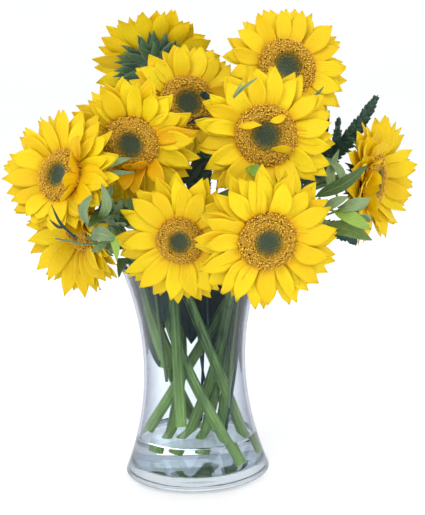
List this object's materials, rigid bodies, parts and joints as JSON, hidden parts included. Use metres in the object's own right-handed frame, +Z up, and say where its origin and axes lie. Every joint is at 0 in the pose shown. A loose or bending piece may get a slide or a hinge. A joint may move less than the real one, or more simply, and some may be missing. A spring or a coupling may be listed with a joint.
{
  "type": "sunflowers in a vase",
  "caption": "Cut sunflowers with fern fronds, leafy sprays and single leaves, standing in a waisted clear glass vase with a little water.",
  "frame": {"origin": "middle of the vase's foot, on the surface it stands on", "axes": "+Z up along the vase's axis; the arrangement faces -Y, and +X is to its right as seen from the front"},
  "size_m": [0.3588, 0.276, 0.4499],
  "materials": {
    "glass": "gloss",
    "water": "gloss",
    "stem": "satin",
    "calyx": "matte",
    "disc": "matte",
    "petals": "matte",
    "fern": "satin",
    "spray": "satin",
    "leaf": "matte"
  },
  "bodies": {
    "root": {"calyx_centre": "calyx", "calyx_far_left": "calyx", "calyx_far_right": "calyx", "calyx_front_left": "calyx", "calyx_front_right": "calyx", "calyx_low_left": "calyx", "calyx_middle_left": "calyx", "calyx_top_left": "calyx", "calyx_top_right": "calyx", "calyx_upper_middle": "calyx", "disc_centre": "disc", "disc_far_left": "disc", "disc_far_right": "disc", "disc_front_left": "disc", "disc_front_right": "disc", "disc_low_left": "disc", "disc_middle_left": "disc", "disc_top_left": "disc", "disc_top_right": "disc", "disc_upper_middle": "disc", "fern_centre": "fern", "fern_right_low": "fern", "fern_right_narrow": "fern", "fern_right_tall": "fern", "fern_upper_middle": "fern", "leaf_back_left": "leaf", "leaf_back_right": "leaf", "leaf_left_broad": "leaf", "leaf_left_narrow": "leaf", "leaf_middle": "leaf", "leaf_right_blade": "leaf", "leaf_right_low": "leaf", "leaf_vase_left": "leaf", "petals_centre": "petals", "petals_far_left": "petals", "petals_far_right": "petals", "petals_front_left": "petals", "petals_front_right": "petals", "petals_low_left": "petals", "petals_middle_left": "petals", "petals_top_left": "petals", "petals_top_right": "petals", "petals_upper_middle": "petals", "spray_back": "spray", "spray_left": "spray", "spray_right": "spray", "stem_centre": "stem", "stem_far_left": "stem", "stem_far_right": "stem", "stem_front_left": "stem", "stem_front_right": "stem", "stem_low_left": "stem", "stem_middle_left": "stem", "stem_top_left": "stem", "stem_top_right": "stem", "stem_upper_middle": "stem", "vase": "glass", "water": "water"}
  },
  "joints": []
}
